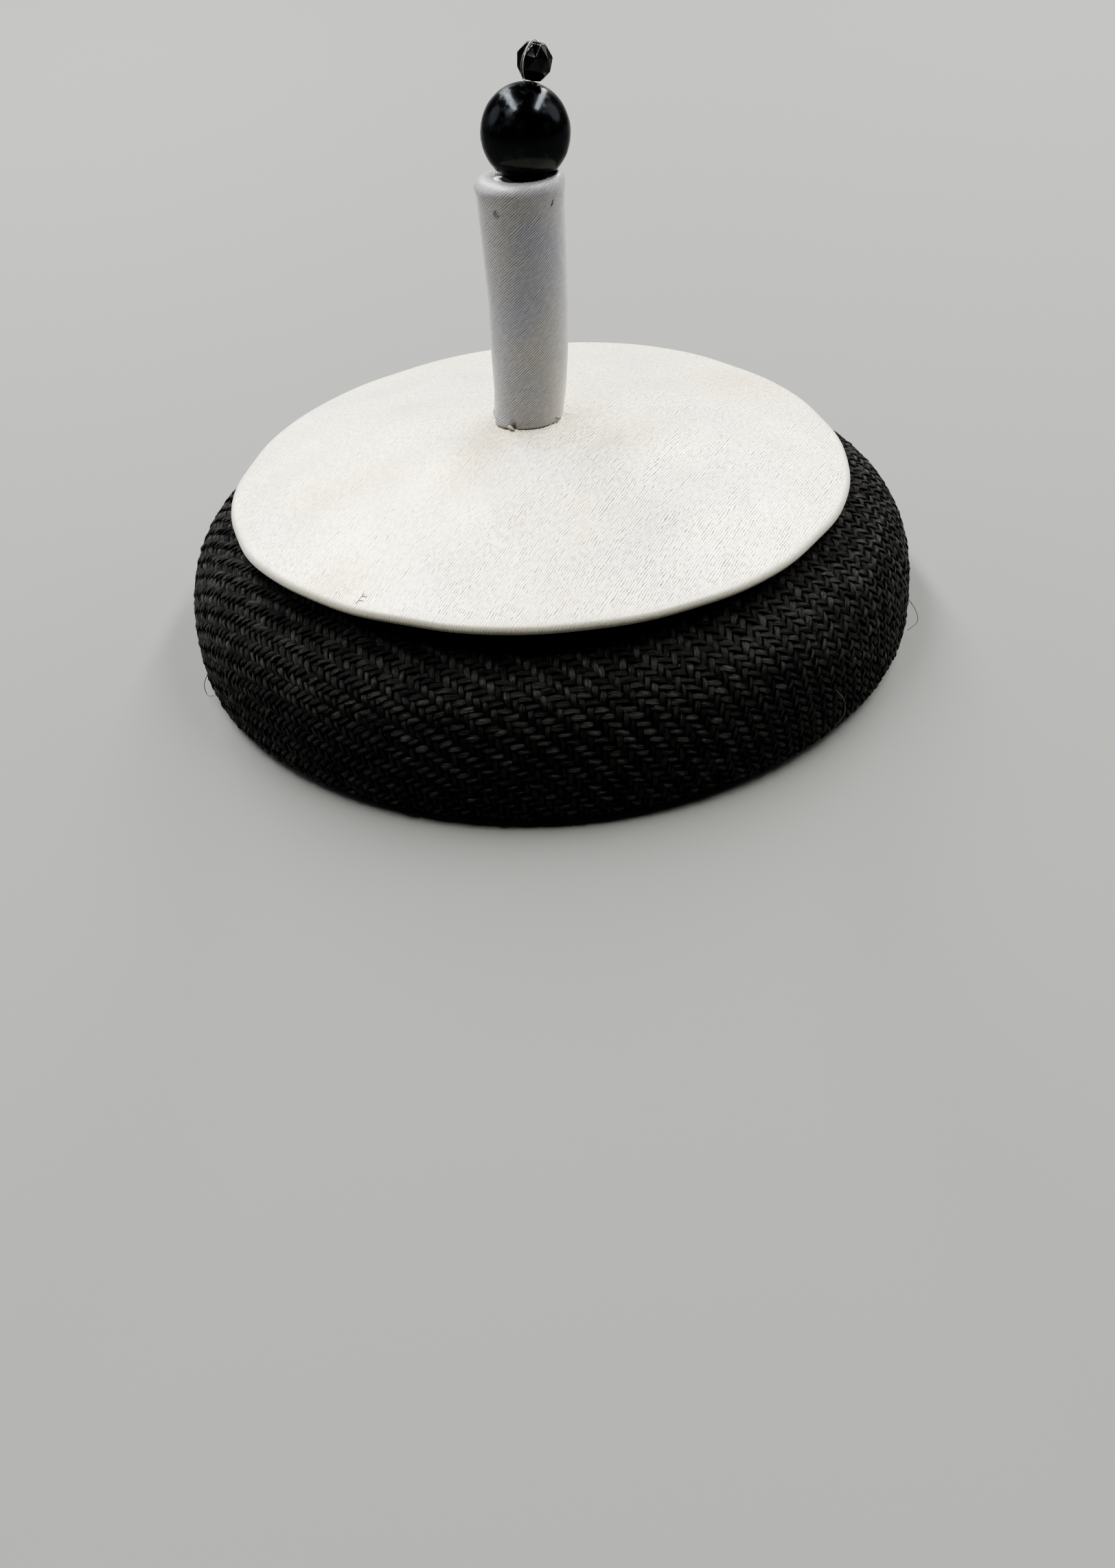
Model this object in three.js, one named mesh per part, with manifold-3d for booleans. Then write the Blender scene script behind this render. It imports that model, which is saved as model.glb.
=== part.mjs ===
// A button hat: a low round straw crown, open below for the head, with a satin-covered disc on top like the
// face of a button, a satin-covered stem standing in its middle, and two black beads threaded on the stem.
// Millimetres. +Z is up the crown's axis, -Y is the hat's front, and the hem rests on the plane z = 0.
import * as THREE from "three";
import { ConvexGeometry } from "three/addons/geometries/ConvexGeometry.js";
import { mergeVertices } from "three/addons/utils/BufferGeometryUtils.js";
import Module from "manifold-3d";

// Clearance between pieces that rest on each other.
const SEAT_GAP = 0.3;

// Straw crown: its outer section from the top's middle, over the shoulder and the side, to the hem.
const CROWN_RADIUS = 77;
const CROWN_WALL = 2;
const SIDE_HEIGHT = 4; // height of the widest circle above the floor
const SHOULDER_REACH = 16.6; // how far the shoulder's curve comes in from the side
const SHOULDER_HEIGHT = 23.7; // how far it rises above the widest circle
const SHOULDER_SQUARENESS = 0.772; // power on cosine and sine, 1 for an ellipse, less is squarer
const SHOULDER_START = THREE.MathUtils.degToRad(71.5); // where the domed top runs into the shoulder
const HEM_TURN = 5; // how far the side turns in on its way down to the floor
const HEM_FLAT = 2.5; // width of the flat ring that rests on the floor
const TOP_FALL_POWER = 3; // how late the crown's top falls away from the disc's underside
const CROWN_STEPS = { top: 8, shoulder: 7, hem: 4 };
const CROWN_SEGMENTS = 56;

// Satin disc: a shallow dome with a flat seat for the stem, a rounded edge and a hand-made warp.
const DISC_RADIUS = 63.5;
const DISC_THICKNESS = 2.3;
const DISC_RIM_HEIGHT = 33.4; // top of the rim above the floor
const DISC_RISE = 10.6; // from the rim up to the stem's seat
const DISC_CURVE = 1.3; // power of the dome, 1 for a straight cone
const STEM_SEAT_RADIUS = 8.8;
const DISC_SHIFT = -1; // the disc sits a little left of the crown's axis
const DISC_WARP = { side: -0.84, front: 1.13, slant: 1.24 }; // height of the rim's bends
const DISC_STEPS = { dome: 6, edge: 6 };
const DISC_SEGMENTS = 56;

// Satin stem: outside sections from the foot (at = 0) to the lip (at = 1), with the axis's shift right.
const STEM_LENGTH = 45.1;
const STEM_SHIFT = -1.95; // its foot stands left of the crown's axis
const STEM_SECTIONS = [
  { at: 0.0, diameter: 13.9, shift: 0.0 },
  { at: 0.13, diameter: 14.5, shift: 0.7 },
  { at: 0.28, diameter: 15.1, shift: 1.1 },
  { at: 0.5, diameter: 15.2, shift: 1.5 },
  { at: 0.88, diameter: 15.9, shift: 1.5 },
  { at: 1.0, diameter: 16.6, shift: 1.5 },
];
const STEM_WALL = 2;
const STEM_LIP_RADIUS = 2; // the satin rolled over the mouth
const STEM_LIP_STEPS = 8;
const STEM_SEGMENTS = 32;

// Beads: the round one sits in the stem's mouth, off its axis, and its bore leans to the right.
const ROUND_BEAD_RADIUS = 8;
const ROUND_BORE_RADIUS = 1;
const ROUND_BORE_CHAMFER = 0.4;
const BEAD_SIDES = 16;
const BEAD_ROWS = 11;
const BEAD_RISE = 6.5; // round bead's centre above the lip
const BEAD_SHIFT = 1.75; // round bead's centre right of the lip's middle
const BEAD_LEAN = THREE.MathUtils.degToRad(12);
const FACETED_GAP = 0.45; // between the two beads, where the thread goes back in
const FACETED_BORE_RADIUS = 0.75;
const FACETED_BORE_SIDES = 12;
const FACETS_AROUND = 8;
const FACETED_RINGS = [
  { height: -2.75, radius: 1.75, turn: 0 },
  { height: -1.0, radius: 3.1, turn: 0.5 },
  { height: 1.0, radius: 3.1, turn: 0 },
  { height: 2.75, radius: 1.75, turn: 0.5 },
];

// Thread: from the stem's mouth up both bores, out over the left front of the faceted bead, and back down.
const THREAD_RADIUS = 0.2;
const THREAD_SIDES = 6;
const THREAD_STEPS = 110;
const THREAD_SIDE = new THREE.Vector3(-0.6, -0.8, 0); // where the outer stretch runs, seen from the bore
const THREAD_ROUTE = [
  { out: -0.4, up: -11 },
  { out: -0.4, up: 0 },
  { out: -0.4, up: 7 },
  { out: -0.3, up: 11.2 },
  { out: -0.2, up: 13.4 },
  { out: 0.4, up: 14.4 },
  { out: 1.5, up: 14.3 },
  { out: 2.7, up: 13.2 },
  { out: 3.5, up: 11.4 },
  { out: 3.2, up: 9.7 },
  { out: 2.4, up: 8.5 },
  { out: 1.5, up: 8.15 },
  { out: 0.8, up: 7.75 },
  { out: 0.4, up: 6.5 },
  { out: 0.4, up: 0 },
  { out: 0.4, up: -11 },
];

// Points from "from" to "to" in equal steps, both ends included.
function steps(from, to, count) {
  return Array.from({ length: count + 1 }, (_, i) => from + ((to - from) * i) / count);
}

// A closed or axis-to-axis profile of (radius, height) points turned about +Z.
function turned(profile, segments) {
  return new THREE.LatheGeometry(profile, segments).rotateX(Math.PI / 2);
}

// Moves every point of a geometry by a function of its place.
function bent(geometry, move) {
  const position = geometry.attributes.position;
  const point = new THREE.Vector3();
  for (let i = 0; i < position.count; i++) {
    point.fromBufferAttribute(position, i);
    move(point);
    position.setXYZ(i, point.x, point.y, point.z);
  }
  geometry.computeVertexNormals();
  return geometry;
}

// The profile moved inwards by a distance, each point along the normal between its neighbours.
function offsetInwards(profile, distance) {
  return profile.map((point, i) => {
    const before = profile[Math.max(i - 1, 0)];
    const after = profile[Math.min(i + 1, profile.length - 1)];
    const along = after.clone().sub(before).normalize();
    return new THREE.Vector2(Math.max(point.x + along.y * distance, 0), point.y - along.x * distance);
  });
}

// Height of the disc's top above the floor, flat over the stem's seat and falling to the rim.
function discTop(radius) {
  const out = Math.max(radius - STEM_SEAT_RADIUS, 0) / (DISC_RADIUS - STEM_SEAT_RADIUS);
  return DISC_RIM_HEIGHT + DISC_RISE * (1 - out ** DISC_CURVE);
}

// A point on the shoulder, from 0 on the widest circle to 90 degrees on the top.
function shoulderPoint(angle) {
  const inwards = CROWN_RADIUS - SHOULDER_REACH * (1 - Math.cos(angle) ** SHOULDER_SQUARENESS);
  return new THREE.Vector2(inwards, SIDE_HEIGHT + SHOULDER_HEIGHT * Math.sin(angle) ** SHOULDER_SQUARENESS);
}

// The crown: its top follows the disc's underside in the middle and falls away from it towards the shoulder.
function crownGeometry() {
  const start = shoulderPoint(SHOULDER_START);
  const fall = discTop(start.x) - DISC_THICKNESS - SEAT_GAP - start.y;
  const top = steps(0, start.x, CROWN_STEPS.top).map((radius) => {
    const clear = SEAT_GAP + fall * (radius / start.x) ** TOP_FALL_POWER;
    return new THREE.Vector2(radius, discTop(radius) - DISC_THICKNESS - clear);
  });
  const shoulder = steps(SHOULDER_START, 0, CROWN_STEPS.shoulder).slice(1).map(shoulderPoint);
  const hem = steps(0, Math.PI / 2, CROWN_STEPS.hem).slice(1).map((angle) => {
    const inwards = CROWN_RADIUS - HEM_TURN * (1 - Math.cos(angle));
    return new THREE.Vector2(inwards, SIDE_HEIGHT * (1 - Math.sin(angle)));
  });
  const edge = new THREE.Vector2(CROWN_RADIUS - HEM_TURN - HEM_FLAT, 0);
  const outside = [...top, ...shoulder, ...hem, edge];
  const inside = offsetInwards(outside, CROWN_WALL).reverse();
  return turned([...outside, ...inside].reverse(), CROWN_SEGMENTS);
}

// The disc: the domed top, the rounded edge and the parallel underside, then the warp.
function discGeometry() {
  const edgeRadius = DISC_THICKNESS / 2;
  const edgeCentre = DISC_RADIUS - edgeRadius;
  const radii = [0, ...steps(STEM_SEAT_RADIUS, edgeCentre, DISC_STEPS.dome)];
  const top = radii.map((radius) => new THREE.Vector2(radius, discTop(radius)));
  const edge = steps(Math.PI / 2, -Math.PI / 2, DISC_STEPS.edge).slice(1, -1).map((angle) => {
    const height = discTop(edgeCentre) - edgeRadius + edgeRadius * Math.sin(angle);
    return new THREE.Vector2(edgeCentre + edgeRadius * Math.cos(angle), height);
  });
  const under = top.map((point) => new THREE.Vector2(point.x, point.y - DISC_THICKNESS)).reverse();
  return bent(turned([...top, ...edge, ...under].reverse(), DISC_SEGMENTS), (point) => {
    const across = point.x / DISC_RADIUS;
    const along = point.y / DISC_RADIUS;
    const sides = DISC_WARP.side * across ** 2 + DISC_WARP.front * along ** 2;
    point.z += sides + DISC_WARP.slant * across * along;
    point.x += DISC_SHIFT;
  });
}

// A column of the stem's table at any height, straight between its rows.
function stemColumn(column, at) {
  const next = Math.max(STEM_SECTIONS.findIndex((row) => row.at >= at), 1);
  const [low, high] = [STEM_SECTIONS[next - 1], STEM_SECTIONS[next]];
  return THREE.MathUtils.mapLinear(at, low.at, high.at, low[column], high[column]);
}

const stemFoot = DISC_RIM_HEIGHT + DISC_RISE + SEAT_GAP;
const stemTop = stemFoot + STEM_LENGTH;
const lipOutside = STEM_SECTIONS.at(-1).diameter / 2;

// The stem: a tapered tube whose wall rolls over at the mouth, bent along its axis, its mouth off centre.
function stemGeometry() {
  const lipStart = 1 - STEM_LIP_RADIUS / STEM_LENGTH;
  const rows = STEM_SECTIONS.map((row) => row.at).filter((at) => at < lipStart);
  const outside = [...rows, lipStart].map(
    (at) => new THREE.Vector2(stemColumn("diameter", at) / 2, at * STEM_LENGTH),
  );
  const lip = steps(0, Math.PI, STEM_LIP_STEPS).slice(1).map((angle) => {
    const radius = lipOutside - STEM_LIP_RADIUS * (1 - Math.cos(angle));
    return new THREE.Vector2(radius, STEM_LENGTH + STEM_LIP_RADIUS * (Math.sin(angle) - 1));
  });
  const inside = rows.toReversed().map(
    (at) => new THREE.Vector2(stemColumn("diameter", at) / 2 - STEM_WALL, at * STEM_LENGTH),
  );
  const profile = [...outside, ...lip, ...inside];
  return bent(turned([...profile, profile[0].clone()], STEM_SEGMENTS), (point) => {
    const at = THREE.MathUtils.clamp(point.z / STEM_LENGTH, 0, 1);
    const inwards = (lipOutside - Math.hypot(point.x, point.y)) / (2 * STEM_LIP_RADIUS);
    const nearLip = THREE.MathUtils.smoothstep(at, STEM_SECTIONS.at(-2).at, lipStart);
    const mouthShift = BEAD_SHIFT * nearLip * THREE.MathUtils.clamp(inwards, 0, 1);
    point.x += STEM_SHIFT + stemColumn("shift", at) + mouthShift;
    point.z += stemFoot;
  });
}

// The round bead about its own centre, drilled along its axis with chamfered ends.
function roundBeadGeometry() {
  const mouth = ROUND_BORE_RADIUS + ROUND_BORE_CHAMFER;
  const mouthAngle = Math.acos(mouth / ROUND_BEAD_RADIUS);
  const surface = steps(-mouthAngle, mouthAngle, BEAD_ROWS).map((angle) =>
    new THREE.Vector2(Math.cos(angle), Math.sin(angle)).multiplyScalar(ROUND_BEAD_RADIUS),
  );
  const boreEnd = surface.at(-1).y - ROUND_BORE_CHAMFER;
  const bore = [boreEnd, -boreEnd].map((height) => new THREE.Vector2(ROUND_BORE_RADIUS, height));
  return turned([...surface, ...bore, surface[0].clone()], BEAD_SIDES);
}

// A geometry as a solid that can be joined and cut.
function solid(wasm, geometry) {
  const bare = geometry.clone().deleteAttribute("normal").deleteAttribute("uv");
  const merged = mergeVertices(bare);
  return new wasm.Manifold(
    new wasm.Mesh({
      numProp: 3,
      vertProperties: new Float32Array(merged.attributes.position.array),
      triVerts: new Uint32Array(merged.index.array),
    }),
  );
}

// The faceted bead about its own centre: flat facets between rings of corners, drilled along its axis.
function facetedBeadGeometry(wasm) {
  const corners = FACETED_RINGS.flatMap((ring) =>
    steps(0, FACETS_AROUND - 1, FACETS_AROUND - 1).map((corner) => {
      const angle = ((corner + ring.turn) / FACETS_AROUND) * 2 * Math.PI;
      const place = new THREE.Vector3(Math.cos(angle), Math.sin(angle), 0).multiplyScalar(ring.radius);
      return place.setZ(ring.height);
    }),
  );
  const bore = [FACETED_BORE_RADIUS, FACETED_BORE_RADIUS, ROUND_BEAD_RADIUS, FACETED_BORE_SIDES];
  const drill = new THREE.CylinderGeometry(...bore).rotateX(Math.PI / 2);
  const drilled = solid(wasm, new ConvexGeometry(corners)).subtract(solid(wasm, drill));
  const mesh = drilled.getMesh();
  const geometry = new THREE.BufferGeometry();
  geometry.setAttribute("position", new THREE.BufferAttribute(mesh.vertProperties, 3));
  geometry.setIndex(new THREE.BufferAttribute(mesh.triVerts, 1));
  geometry.computeVertexNormals();
  return geometry;
}

// The thread in the leaning beads' frame: a round section carried along its route.
function threadGeometry() {
  const route = THREAD_ROUTE.map((row) => THREAD_SIDE.clone().multiplyScalar(row.out).setZ(row.up));
  const section = steps(0, THREAD_SIDES - 1, THREAD_SIDES - 1).map((side) => {
    const angle = (side / THREAD_SIDES) * 2 * Math.PI;
    return new THREE.Vector2(Math.cos(angle), Math.sin(angle)).multiplyScalar(THREAD_RADIUS);
  });
  const extrudePath = new THREE.CatmullRomCurve3(route);
  return new THREE.ExtrudeGeometry(new THREE.Shape(section), { steps: THREAD_STEPS, extrudePath });
}

// One named piece with its own finish.
function piece(name, geometry, color, roughness) {
  const material = new THREE.MeshStandardMaterial({ color, roughness, metalness: 0 });
  const mesh = new THREE.Mesh(geometry, material);
  mesh.name = name;
  return mesh;
}

const wasm = await Module();
wasm.setup();

// Both beads lean together about the round bead's centre.
const beads = new THREE.Group();
const lipAxis = STEM_SHIFT + STEM_SECTIONS.at(-1).shift;
beads.position.set(lipAxis + BEAD_SHIFT, 0, stemTop + BEAD_RISE);
beads.rotation.y = BEAD_LEAN;

const roundBead = piece("round_bead", roundBeadGeometry(), 0x0a0b0b, 0.12);
const facetedBead = piece("faceted_bead", facetedBeadGeometry(wasm), 0x08080a, 0.05);
facetedBead.position.z = ROUND_BEAD_RADIUS + FACETED_GAP + FACETED_RINGS.at(-1).height;
beads.add(roundBead, facetedBead, piece("bead_thread", threadGeometry(), 0x2a2a2c, 0.6));

const hat = new THREE.Group();
hat.add(
  piece("crown", crownGeometry(), 0x111112, 0.6),
  piece("top_disc", discGeometry(), 0xece7dc, 0.55),
  piece("stem", stemGeometry(), 0xe6e2da, 0.5),
  beads,
);

export default hat;
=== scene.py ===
"""A button hat: a low crown of woven black straw, a satin-covered disc on it like a button's face, a
satin-covered stem in the middle, and two black beads threaded on the stem. Sizes are in millimetres in the
hat's own frame, +Z up and -Y to the front, and add_piece scales a mesh to metres."""
import bpy
import numpy as np
from mathutils import Matrix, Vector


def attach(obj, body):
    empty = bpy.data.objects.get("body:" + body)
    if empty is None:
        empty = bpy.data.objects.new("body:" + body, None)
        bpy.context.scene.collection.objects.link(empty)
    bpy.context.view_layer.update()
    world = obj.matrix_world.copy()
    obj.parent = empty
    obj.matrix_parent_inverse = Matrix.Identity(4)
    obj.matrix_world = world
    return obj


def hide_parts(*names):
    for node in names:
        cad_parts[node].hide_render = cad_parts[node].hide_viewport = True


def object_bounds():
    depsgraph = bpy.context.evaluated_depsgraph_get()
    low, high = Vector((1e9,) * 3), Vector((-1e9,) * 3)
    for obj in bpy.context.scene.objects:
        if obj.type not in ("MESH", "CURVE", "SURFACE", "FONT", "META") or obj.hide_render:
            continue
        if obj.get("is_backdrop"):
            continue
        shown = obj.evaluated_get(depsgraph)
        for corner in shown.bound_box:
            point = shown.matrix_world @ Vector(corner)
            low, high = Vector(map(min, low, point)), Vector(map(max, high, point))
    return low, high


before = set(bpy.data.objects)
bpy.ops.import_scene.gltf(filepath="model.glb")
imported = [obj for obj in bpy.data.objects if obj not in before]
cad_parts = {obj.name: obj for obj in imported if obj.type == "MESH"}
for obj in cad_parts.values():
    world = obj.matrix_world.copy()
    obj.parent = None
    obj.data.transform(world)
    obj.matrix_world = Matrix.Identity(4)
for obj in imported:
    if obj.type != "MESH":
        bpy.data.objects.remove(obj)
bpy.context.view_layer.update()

# Camera
# It stands in front of the hat at arm's length and looks down on it, turned a little about its own view.
CAMERA_PLACE = (-2.03, -243.44, 150.13)
CAMERA_DOWN = np.radians(39.91)
CAMERA_ROLL = np.radians(-4.48)
CAMERA_LENS = 28.923
CAMERA_SENSOR = 36.0
CAMERA_NEAR = 0.01
MM = 0.001

lens = bpy.data.cameras.new("camera")
lens.lens = CAMERA_LENS
lens.sensor_width = CAMERA_SENSOR
lens.clip_start = CAMERA_NEAR
camera = bpy.data.objects.new("camera", lens)
bpy.context.scene.collection.objects.link(camera)
camera.matrix_world = (
    Matrix.Translation([side * MM for side in CAMERA_PLACE])
    @ Matrix.Rotation(np.pi / 2 - CAMERA_DOWN, 4, "X")
    @ Matrix.Rotation(CAMERA_ROLL, 4, "Z")
)
bpy.context.scene.camera = camera

# Straw crown, the shell
# A hollow dome blocked from one flat piece of black straw cloth, stiffened, with its hem turned in at the
# bottom. This is the cloth's inner side, which the head meets. The strands that show outside lie on it.
CROWN_RADIUS = 77.0
CROWN_WALL = 2.0
SIDE_HEIGHT = 4.0
SHOULDER_REACH = 16.6
SHOULDER_HEIGHT = 23.7
SHOULDER_SQUARENESS = 0.772
SHOULDER_START = np.radians(71.5)
HEM_TURN = 5.0
HEM_FLAT = 2.5
TOP_FALL_POWER = 3
SEAT_GAP = 0.3
DISC_RADIUS = 63.5
DISC_THICKNESS = 2.3
DISC_RIM_HEIGHT = 33.4
DISC_RISE = 10.6
DISC_CURVE = 1.3
STEM_SEAT_RADIUS = 8.8
STRAND_PITCH = 1.32
STRAND_DEPTH = 0.95
TWILL_REPEAT = 4
SECTION_POINTS = {"top": 120, "shoulder": 90, "hem": 40}
SECTION_STEP = 0.5
SHELL_SEGMENTS = 180
SHELL_DARK_AND_SHADE = (0.0015, 0.0015, 0.0015, 1.0)
SHELL_LIGHT = (0.010, 0.010, 0.009, 1.0)


def disc_top(radius):
    """Height of the disc's top: flat over the stem's seat, then falling with a power of the way out."""
    out = np.maximum(radius - STEM_SEAT_RADIUS, 0.0) / (DISC_RADIUS - STEM_SEAT_RADIUS)
    return DISC_RIM_HEIGHT + DISC_RISE * (1.0 - out ** DISC_CURVE)


def shoulder_point(angle):
    """A point of the shoulder's squared quarter ellipse, 0 on the widest circle and a right angle on top."""
    radius = CROWN_RADIUS - SHOULDER_REACH * (1.0 - np.cos(angle) ** SHOULDER_SQUARENESS)
    return np.stack([radius, SIDE_HEIGHT + SHOULDER_HEIGHT * np.sin(angle) ** SHOULDER_SQUARENESS], -1)


def crown_section(step):
    """The crown's outer section from the top's middle to the hem's inner edge, at even steps along it: the
    top under the disc, the shoulder, the quarter ellipse of the hem and the flat ring on the floor. Gives the
    way along the section, the points (radius, height) and the normals out of the straw."""
    start = shoulder_point(SHOULDER_START)
    fall = disc_top(start[0]) - DISC_THICKNESS - SEAT_GAP - start[1]
    radius = np.linspace(0.0, start[0], SECTION_POINTS["top"])
    clear = SEAT_GAP + fall * (radius / start[0]) ** TOP_FALL_POWER
    top = np.stack([radius, disc_top(radius) - DISC_THICKNESS - clear], -1)
    shoulder = shoulder_point(np.linspace(SHOULDER_START, 0.0, SECTION_POINTS["shoulder"]))[1:]
    angle = np.linspace(0.0, np.pi / 2, SECTION_POINTS["hem"])[1:]
    inwards = CROWN_RADIUS - HEM_TURN * (1.0 - np.cos(angle))
    hem = np.stack([inwards, SIDE_HEIGHT * (1.0 - np.sin(angle))], -1)
    edge = np.array([[CROWN_RADIUS - HEM_TURN - HEM_FLAT, 0.0]])
    rough = np.concatenate([top, shoulder, hem, edge])
    length = np.concatenate([[0.0], np.cumsum(np.hypot(*np.diff(rough, axis=0).T))])
    way = np.arange(0.0, length[-1], step)
    points = np.stack([np.interp(way, length, rough[:, axis]) for axis in (0, 1)], -1)
    along = np.gradient(points, way, axis=0)
    along /= np.linalg.norm(along, axis=1, keepdims=True)
    return way, points, np.stack([-along[:, 1], along[:, 0]], -1)


def turned(profile, segments, closed=False):
    """A profile of (radius, height) rows turned about +Z: a closed one is joined from its last row to its
    first, and any other starts and ends on the axis. The profile runs down the outside of a solid. Gives
    points, faces and, for every corner of every face, its place (turns round, row)."""
    count = len(profile)
    angle = np.arange(segments) / segments * 2.0 * np.pi
    radius, height = profile[:, :1], np.repeat(profile[:, 1:], segments, 1)
    rings = np.stack([radius * np.cos(angle), radius * np.sin(angle), height], -1).reshape(-1, 3)
    row, column = np.meshgrid(np.arange(count - 1 + closed), np.arange(segments), indexing="ij")
    onward = (row + 1) % count * segments
    after = (column + 1) % segments
    quads = np.stack([row * segments + column, onward + column, onward + after, row * segments + after], -1)
    turns = np.stack([column, column, column + 1, column + 1], -1) / segments
    places = np.stack([turns, np.stack([row, row + 1, row + 1, row], -1)], -1)
    if closed:
        return rings, [quads.reshape(-1, 4)], places.reshape(-1, 2)
    first = quads[0][:, :3] * [0, 1, 1]
    last = quads[-1][:, [0, 1, 3]]
    last[:, 1] = (count - 1) * segments
    corner_places = [places[1:-1], places[0][:, :3], places[-1][:, [0, 1, 3]]]
    return (rings, [quads[1:-1].reshape(-1, 4), first, last],
            np.concatenate([place.reshape(-1, 2) for place in corner_places]))


def cloth_places(places, reach):
    """Places (turns round, row) as places on a flat cloth: the row's reach, that way from the middle."""
    turn = places[:, 0] * 2 * np.pi
    return reach[places[:, 1].astype(int), None] * np.stack([np.cos(turn), np.sin(turn)], -1)


def add_piece(name, points, faces, finish, places=None, tone=None, smooth=True):
    """A mesh object at the origin. points are millimetres, faces a list of arrays of corner numbers, places
    the pattern's coordinates of every face corner, and tone one number for every point. Points that no face
    uses are dropped."""
    corners = np.concatenate([face.ravel() for face in faces])
    sizes = np.concatenate([np.full(len(face), face.shape[1]) for face in faces])
    used, corners = np.unique(corners, return_inverse=True)
    mesh = bpy.data.meshes.new(name)
    mesh.vertices.add(len(used))
    mesh.vertices.foreach_set("co", (points[used] * MM).astype(np.float32).ravel())
    mesh.loops.add(len(corners))
    mesh.loops.foreach_set("vertex_index", corners.astype(np.int32))
    mesh.polygons.add(len(sizes))
    mesh.polygons.foreach_set("loop_start", np.concatenate([[0], np.cumsum(sizes)[:-1]]).astype(np.int32))
    if places is not None:
        layer = mesh.uv_layers.new(name="places")
        layer.data.foreach_set("uv", places.astype(np.float32).ravel())
    if tone is not None:
        attribute = mesh.attributes.new("tone", "FLOAT", "POINT")
        attribute.data.foreach_set("value", tone[used].astype(np.float32))
    mesh.polygons.foreach_set("use_smooth", np.full(len(sizes), smooth))
    mesh.update(calc_edges=True)
    mesh.validate()
    mesh.materials.append(finish)
    piece = bpy.data.objects.new(name, mesh)
    bpy.context.scene.collection.objects.link(piece)
    return piece


class Shade:
    """One value in a material's nodes. Python's operators on it add Math nodes, and node adds any other."""

    def __init__(self, tree, socket):
        self.tree = tree
        self.socket = socket

    def fill(self, node, sockets):
        """Sets a node's sockets, by name or number, to plain values or to links from other values."""
        for key, value in sockets.items():
            if isinstance(value, Shade):
                self.tree.links.new(value.socket, node.inputs[key])
            else:
                node.inputs[key].default_value = value

    def node(self, kind, settings, sockets, output=0):
        """A new node of that type: its settings first, then its sockets. Gives one of its outputs."""
        made = self.tree.nodes.new(kind)
        for name, value in settings.items():
            setattr(made, name, value)
        self.fill(made, sockets)
        return Shade(self.tree, made.outputs[output])

    def math(self, operation, first, second=0.0):
        """A Math node of that operation."""
        return self.node("ShaderNodeMath", {"operation": operation}, {0: first, 1: second})

    def __add__(self, other):
        return self.math("ADD", self, other)

    def __sub__(self, other):
        return self.math("SUBTRACT", self, other)

    def __rsub__(self, other):
        return self.math("SUBTRACT", other, self)

    def __mul__(self, other):
        return self.math("MULTIPLY", self, other)

    def __truediv__(self, other):
        return self.math("DIVIDE", self, other)

    def __rtruediv__(self, other):
        return self.math("DIVIDE", other, self)

    __radd__ = __add__
    __rmul__ = __mul__

    def smooth(self, low, high):
        """0 below low, 1 above high, and a smooth rise between them."""
        return self.node("ShaderNodeMapRange", {"interpolation_type": "SMOOTHSTEP"},
                         {"Value": self, "From Min": low, "From Max": high})

    def mix(self, first, second):
        """The first colour where this value is 0, and the second where it is 1."""
        return self.node("ShaderNodeMix", {"data_type": "RGBA"}, {0: self, 6: first, 7: second}, 2)

    def stretched(self, scale, turn=0.0):
        """These coordinates turned about the third axis and then multiplied along each axis."""
        flat = self.node("ShaderNodeMapping", {}, {"Vector": self, "Rotation": (0.0, 0.0, turn)})
        return self.node("ShaderNodeVectorMath", {"operation": "MULTIPLY"}, {0: flat, 1: scale})

    def noise(self, scale=1.0, detail=2.0, roughness=0.5):
        """Soft noise at these coordinates, from about 0.25 to 0.75."""
        return self.node("ShaderNodeTexNoise", {},
                         {"Vector": self, "Scale": scale, "Detail": detail, "Roughness": roughness})

    def part(self, axis):
        """One number of these coordinates."""
        return self.node("ShaderNodeSeparateXYZ", {}, {0: self}, axis)

    def bump(self, strength, distance):
        """A normal from this height, whose full range is the distance in millimetres."""
        return self.node("ShaderNodeBump", {},
                         {"Height": self, "Strength": strength, "Distance": distance * MM})


def new_finish(name, coordinates):
    """An empty material with its surface shader and the piece's own coordinates, Object or UV."""
    material = bpy.data.materials.new(name)
    material.use_nodes = True
    tree = material.node_tree
    shader = tree.nodes["Principled BSDF"]
    place = tree.nodes.new("ShaderNodeTexCoord")
    return material, shader, Shade(tree, place.outputs[coordinates])


def shell_finish():
    """The straw's inner side: a 2/2 twill in the cloth's own coordinates, one unit to a strand. A strand's
    height is half a sine across it. The warp is on top where the numbers of the two strands that cross add up
    to 0 or 1 of 4. Its colour is lighter where that height is high and darker in the dips, painted shade
    between the strands."""
    material, shader, cloth = new_finish("straw_inside", "UV")
    across = cloth.part(0)
    along = cloth.part(1)
    counted = across.math("FLOOR", across) + along.math("FLOOR", along)
    warp_up = across.math("LESS_THAN", across.math("FLOORED_MODULO", counted, TWILL_REPEAT), 1.5)
    warp = across.math("SINE", across.math("FRACT", across) * np.pi)
    weft = across.math("SINE", across.math("FRACT", along) * np.pi)
    height = warp_up * warp + (1.0 - warp_up) * weft
    fibres = cloth.noise(9.0, 3.0)
    # Darker where the weave is low: painted shade in the dips between the strands.
    tint = (height * 0.6 + fibres * 0.5).smooth(0.2, 1.0)
    cloth.fill(shader, {
        "Base Color": tint.mix(SHELL_DARK_AND_SHADE, SHELL_LIGHT),
        "Roughness": fibres * 0.3 + 0.4,
        "Normal": (height + fibres * 0.4).bump(0.9, 0.35),
    })
    return material


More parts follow.
